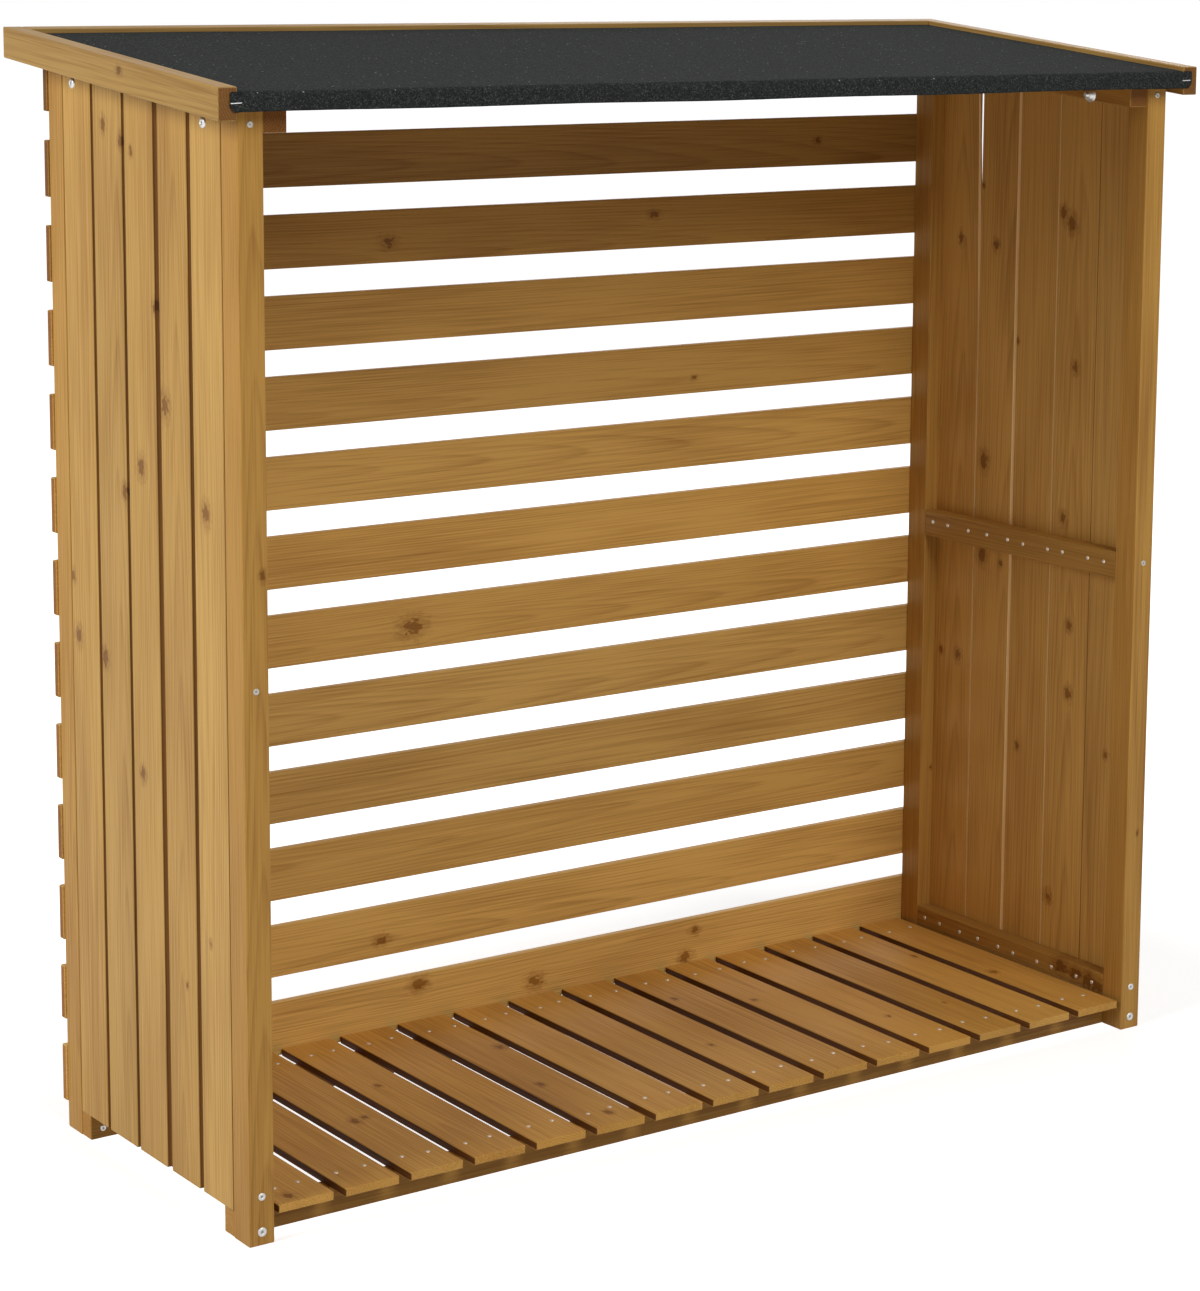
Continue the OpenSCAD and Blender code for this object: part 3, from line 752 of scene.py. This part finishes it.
NUT = [(0.011, -0.001), (0.011, 0.0014), (0.0072, 0.0015), (0.0072, 0.0066), (0.0062, 0.0074),
       (0.0034, 0.0074), (0.0034, 0.011), (0.0028, 0.0115)]
secant = 1 / math.cos(FALL)


def fascia_level(y, across):
    return deck_under(y) + (across - FASCIA_DROP + FASCIA_HIGH / 2) * secant


for side, hand in SIDES:

    def lay_bearer(along, across, through, hand=hand):
        y = BEARER_TRIM + along
        x = hand * (WIDTH / 2 - POST_WIDE - BEARER_WIDE / 2 + through)
        return (x, y - MIDDLE, deck_under(y) + (across - BEARER_HIGH / 2) * secant)

    def lay_fascia(along, across, through, hand=hand):
        y = ROOF_FRONT + along
        x = hand * (DECK_HALF + FASCIA_THICK / 2 + through)
        return (x, y - MIDDLE, fascia_level(y, across))

    # The bearers are darkened (shade 0.72) as painted shade under the roof.
    bearer = saw_length(DEPTH - 2 * BEARER_TRIM, BEARER_HIGH, BEARER_WIDE, lay_bearer, 701 + hand,
                        shade=0.72, warmth=0.9)
    timber_piece(f"{side}_roof_bearer", [bearer], f"roof_{side}_bearer")
    fascia = saw_length(ROOF_BACK - ROOF_FRONT, FASCIA_HIGH, FASCIA_THICK, lay_fascia, 711 + hand,
                        shade=0.76, warmth=0.34)
    timber_piece(f"{side}_fascia_board", [fascia], f"roof_{side}_fascia")


def lay_rear(along, across, through):
    y = DECK_BACK + FASCIA_THICK / 2 + through
    return (along - DECK_HALF, y - MIDDLE, fascia_level(y, across))


rear_fascia = saw_length(2 * DECK_HALF, FASCIA_HIGH, FASCIA_THICK, lay_rear, 722,
                         shade=0.7, warmth=0.3)
timber_piece("rear_fascia_board", [rear_fascia], "roof_rear_fascia")

deck_boards = []
for number in range(DECK_COUNT):
    y0 = ROOF_FRONT + number * (DECK_BACK - ROOF_FRONT) / DECK_COUNT
    y1 = ROOF_FRONT + (number + 1) * (DECK_BACK - ROOF_FRONT) / DECK_COUNT

    def lay_deck(along, across, through, centre=(y0 + y1) / 2):
        y = centre + across
        return (along - DECK_HALF, y - MIDDLE, deck_under(y) + (DECK_THICK / 2 + through) * secant)

    deck_boards.append(saw_length(2 * DECK_HALF, y1 - y0, DECK_THICK, lay_deck, 800 + number,
                                  ease=DECK_EASE))
timber_piece("roof_deck_boards", deck_boards, "roof_deck")

for side, hand in SIDES:
    holes = [(y, deck_under(y) - BOLT_DOWN[side]) for y in BOLT_ROWS]
    outside, inside = hand * WIDTH / 2, hand * (WIDTH / 2 - POST_WIDE - BEARER_WIDE)
    turned_heads(f"{side}_bolt_heads", [(outside, y - MIDDLE, z) for y, z in holes],
                 (hand, 0, 0), BOLT_HEAD, zinc, steel_and_recess_shade)
    turned_heads(f"{side}_bolt_nuts", [(inside, y - MIDDLE, z) for y, z in holes],
                 (-hand, 0, 0), NUT, zinc)

# Roofing felt: one sheet of mineral-faced bitumen felt laid on the deck between the fascias, bent
# over its front edge and turned down, with an ear over half of each fascia's end. Staples hold the
# turned-down part.
CHIP_SCALE, CLOUD_SCALE, FLECK_SCALE = 800.0, 300.0, 150.0
BRIGHT_CHIPS, BRIGHT_SHARE, CHIP_STEP = (0.9, 1.0), 0.3, 0.6
CLOUD_RANGE, FLECK_EDGE, FLECK_RARE, FLECK_SHARE = (0.2, 0.8), (0.12, 0.2), 0.91, 0.85
FELT_ROUGH, FELT_SHEEN, CHIP_BUMP, CHIP_DEEP = 0.95, 0.05, 0.6, 0.0008
felt_finish, tree, skin = new_finish("mineral_felt")
where = add_node(tree, "ShaderNodeTexCoord").outputs["Object"]
chips = add_node(tree, "ShaderNodeTexVoronoi", {
    "Vector": where, "Scale": CHIP_SCALE, "Randomness": 1.0})
chip_draw = add_node(tree, "ShaderNodeSeparateColor", {0: chips.outputs["Color"]}).outputs[0]
bright = stretch_range(tree, chip_draw, *BRIGHT_CHIPS, 0.0, 1.0)
clouds = add_node(tree, "ShaderNodeTexNoise", {
    "Vector": where, "Scale": CLOUD_SCALE, "Detail": 2.0}).outputs["Fac"]
clouds = stretch_range(tree, clouds, *CLOUD_RANGE, 0.0, 1.0)
bitumen = blend(tree, clouds, from_srgb(33, 36, 35), from_srgb(77, 80, 77))
grit = blend(tree, chip_draw, from_srgb(34, 36, 35), bitumen)
grit = blend(tree, sums(tree, "MULTIPLY", bright, BRIGHT_SHARE), grit, from_srgb(128, 132, 128))
flecks = add_node(tree, "ShaderNodeTexVoronoi", {
    "Vector": where, "Scale": FLECK_SCALE, "Randomness": 1.0})
fleck_dot = stretch_range(tree, flecks.outputs["Distance"], *FLECK_EDGE, 1.0, 0.0)
fleck_draw = add_node(tree, "ShaderNodeSeparateColor", {0: flecks.outputs["Color"]}).outputs[1]
fleck_seen = sums(tree, "MULTIPLY", fleck_dot, sums(tree, "GREATER_THAN", fleck_draw, FLECK_RARE))
fleck_seen = sums(tree, "MULTIPLY", fleck_seen, FLECK_SHARE)
speckled = blend(tree, fleck_seen, grit, from_srgb(178, 182, 178))
tree.links.new(speckled, skin.inputs["Base Color"])
skin.inputs["Roughness"].default_value = FELT_ROUGH
skin.inputs["Specular IOR Level"].default_value = FELT_SHEEN
chip_rise = sums(tree, "MULTIPLY", chip_draw, CHIP_STEP)
chip_rise = sums(tree, "ADD", chips.outputs["Distance"], chip_rise)
add_bump(tree, skin, chip_rise, CHIP_BUMP, CHIP_DEEP)

NOSE, FELT_TRIM, FELT_CORNER, EAR_CORNER = 0.0065, 0.001, 0.006, 0.002
FELT_BELOW, EAR_BELOW = 0.004, 0.006
DOWN_DECK, ROUND_NOSE, DOWN_FRONT, FELT_COLUMNS = 25, 8, 7, 97
SWELL, SWELL_TURN, SWELL_STRAY = 0.00025, 9, 0.00008
HEM_WAVE, HEM_TURN, HEM_START = 0.0005, 23, 0.6
RUFFLE, RUFFLE_TURN, RUFFLE_SLANT = 0.0002, 17, 0.35
EAR_LAP = {"left": 0.010, "right": 0.014}


def deck_top(y):
    return deck_under(y) + DECK_THICK * secant


nose_y = ROOF_FRONT + NOSE
nose_z = deck_top(nose_y) - NOSE * secant
felt_low = deck_under(ROOF_FRONT) - FELT_BELOW
ear_top = deck_top(ROOF_FRONT) + (FELT_THICK + FASCIA_LIP) * secant - EAR_BELOW
bend_y = nose_y - math.sin(FALL) * (NOSE + FELT_THICK)
run = []
for k in range(DOWN_DECK):
    y = DECK_BACK + (bend_y - DECK_BACK) * k / (DOWN_DECK - 1)
    run.append((y, deck_top(y), (math.sin(-FALL), math.cos(FALL))))
for k in range(1, ROUND_NOSE):
    a = math.radians(90) + FALL + (math.radians(90) - FALL) * k / ROUND_NOSE
    run.append((nose_y + NOSE * math.cos(a), nose_z + NOSE * math.sin(a),
                (math.cos(a), math.sin(a))))
for k in range(DOWN_FRONT):
    run.append((ROOF_FRONT, nose_z + (felt_low - nose_z) * k / (DOWN_FRONT - 1), (-1.0, 0.0)))
wave = random.Random(5)
felt_mesh = bmesh.new()
rows = len(run)
upper, lower = [], []
for c in range(FELT_COLUMNS):
    t = c / (FELT_COLUMNS - 1)
    x = (DECK_HALF - FELT_TRIM) * (2 * t - 1)
    swell = SWELL * math.sin(SWELL_TURN * t) + wave.uniform(-SWELL_STRAY, SWELL_STRAY)
    hem = HEM_WAVE * math.sin(HEM_TURN * t + HEM_START) + swell
    for k, (y, z, (ny, nz)) in enumerate(run):
        z_hem = z + (hem if k == rows - 1 else 0.0)
        ruffle = RUFFLE * math.sin(RUFFLE_TURN * t + RUFFLE_SLANT * k)
        thick = FELT_THICK + (ruffle if k < DOWN_DECK else 0.0)
        lower.append(felt_mesh.verts.new((x, y - MIDDLE, z_hem)))
        upper.append(felt_mesh.verts.new((x, y + ny * thick - MIDDLE, z_hem + nz * thick)))
for c in range(FELT_COLUMNS - 1):
    for k in range(rows - 1):
        a, b = c * rows + k, (c + 1) * rows + k
        felt_mesh.faces.new((upper[a], upper[b], upper[b + 1], upper[a + 1]))
        felt_mesh.faces.new((lower[a], lower[a + 1], lower[b + 1], lower[b]))
    for k in (0, rows - 1):
        a, b = c * rows + k, (c + 1) * rows + k
        felt_mesh.faces.new((upper[a], lower[a], lower[b], upper[b]))
for c in (0, FELT_COLUMNS - 1):
    for k in range(rows - 1):
        a = c * rows + k
        felt_mesh.faces.new((upper[a], upper[a + 1], lower[a + 1], lower[a]))
for side, hand in SIDES:
    inner, outer = DECK_HALF - FELT_TRIM, DECK_HALF + EAR_LAP[side]
    ear = [(inner, felt_low), (outer - FELT_CORNER, felt_low), (outer, felt_low + FELT_CORNER),
           (outer, ear_top - EAR_CORNER), (outer - EAR_CORNER, ear_top), (inner, ear_top)]
    fore, rear = ([felt_mesh.verts.new((hand * x, y - MIDDLE, z)) for x, z in ear]
                  for y in (ROOF_FRONT - FELT_THICK, ROOF_FRONT))
    felt_mesh.faces.new(fore)
    felt_mesh.faces.new(rear)
    for k in range(len(ear)):
        t = (k + 1) % len(ear)
        felt_mesh.faces.new((fore[k], fore[t], rear[t], rear[k]))
bmesh.ops.recalc_face_normals(felt_mesh, faces=felt_mesh.faces)
felt_data = bpy.data.meshes.new("felt_sheet")
felt_mesh.to_mesh(felt_data)
felt_mesh.free()
felt_data.materials.append(felt_finish)
felt_data.polygons.foreach_set("use_smooth", [True] * len(felt_data.polygons))
felt_piece = bpy.data.objects.new("felt_sheet", felt_data)
stage_scene.collection.objects.link(felt_piece)
felt_piece.modifiers.new("flat_faces", "WEIGHTED_NORMAL").weight = 100
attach(felt_piece, "root")
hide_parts("roof_felt")

STAPLE_HALF, STAPLE_TILT, STAPLE_RADIUS, STAPLE_SIDES = 0.0075, 0.0005, 0.0006, 6
STAPLE_OUT, STAPLE_PROUD, STAPLE_HIGH = 0.003, 0.0004, 1.4075
staple_y = ROOF_FRONT - FELT_THICK - STAPLE_PROUD
staple_points, staple_faces = [], []
for side, hand in SIDES:
    base = len(staple_points)
    x = hand * (DECK_HALF + STAPLE_OUT)
    for dx, dz in ((-STAPLE_HALF, 0.0), (STAPLE_HALF, STAPLE_TILT)):
        for k in range(STAPLE_SIDES):
            a = 2 * math.pi * k / STAPLE_SIDES
            y = staple_y + STAPLE_RADIUS * math.cos(a)
            z = STAPLE_HIGH + dz + STAPLE_RADIUS * math.sin(a)
            staple_points.append((x + dx, y - MIDDLE, z))
    near_end = [base + k for k in range(STAPLE_SIDES)]
    far_end = [v + STAPLE_SIDES for v in near_end]
    for k in range(STAPLE_SIDES):
        t = (k + 1) % STAPLE_SIDES
        staple_faces.append((near_end[k], near_end[t], far_end[t], far_end[k]))
    staple_faces += [tuple(near_end), tuple(far_end)]
staple_mesh = bpy.data.meshes.new("felt_staples")
staple_mesh.from_pydata(staple_points, [], staple_faces)
staple_mesh.materials.append(zinc)
staples = bpy.data.objects.new("felt_staples", staple_mesh)
stage_scene.collection.objects.link(staples)
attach(staples, "root")
